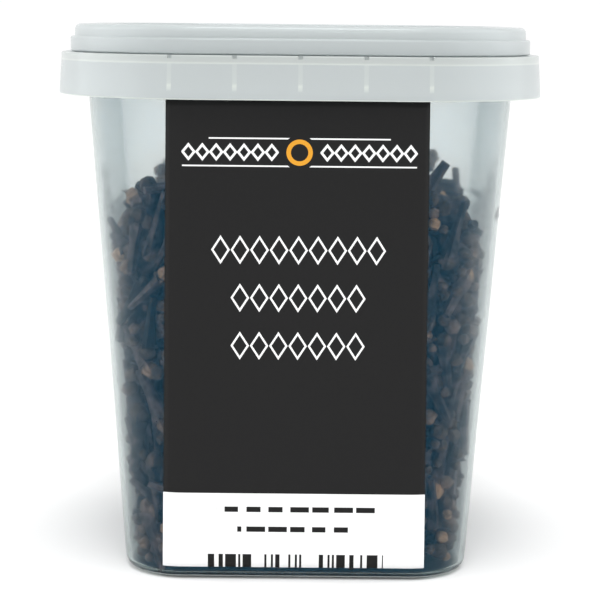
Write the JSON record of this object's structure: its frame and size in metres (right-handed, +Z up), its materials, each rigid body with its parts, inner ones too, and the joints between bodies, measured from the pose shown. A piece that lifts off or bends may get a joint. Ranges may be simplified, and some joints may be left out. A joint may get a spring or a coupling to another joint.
{
  "type": "tub of whole cloves",
  "caption": "Square translucent plastic food tub with a press-on lid, a tamper-evident collar and a plain front label, filled with a heap of whole cloves.",
  "frame": {"origin": "centre of the tub's base, on the surface that it stands on", "axes": "+Z up, the label faces -Y, +X to the right of someone who reads the label"},
  "size_m": [0.095, 0.095, 0.1085],
  "materials": {
    "tub_plastic": "translucent polypropylene",
    "lid_plastic": "translucent polypropylene",
    "label_paper": "satin printed paper",
    "clove": "dry, finely wrinkled"
  },
  "bodies": {
    "root": {"tub": "tub_plastic", "lid": "lid_plastic", "label": "label_paper", "cloves": "clove"}
  },
  "joints": []
}
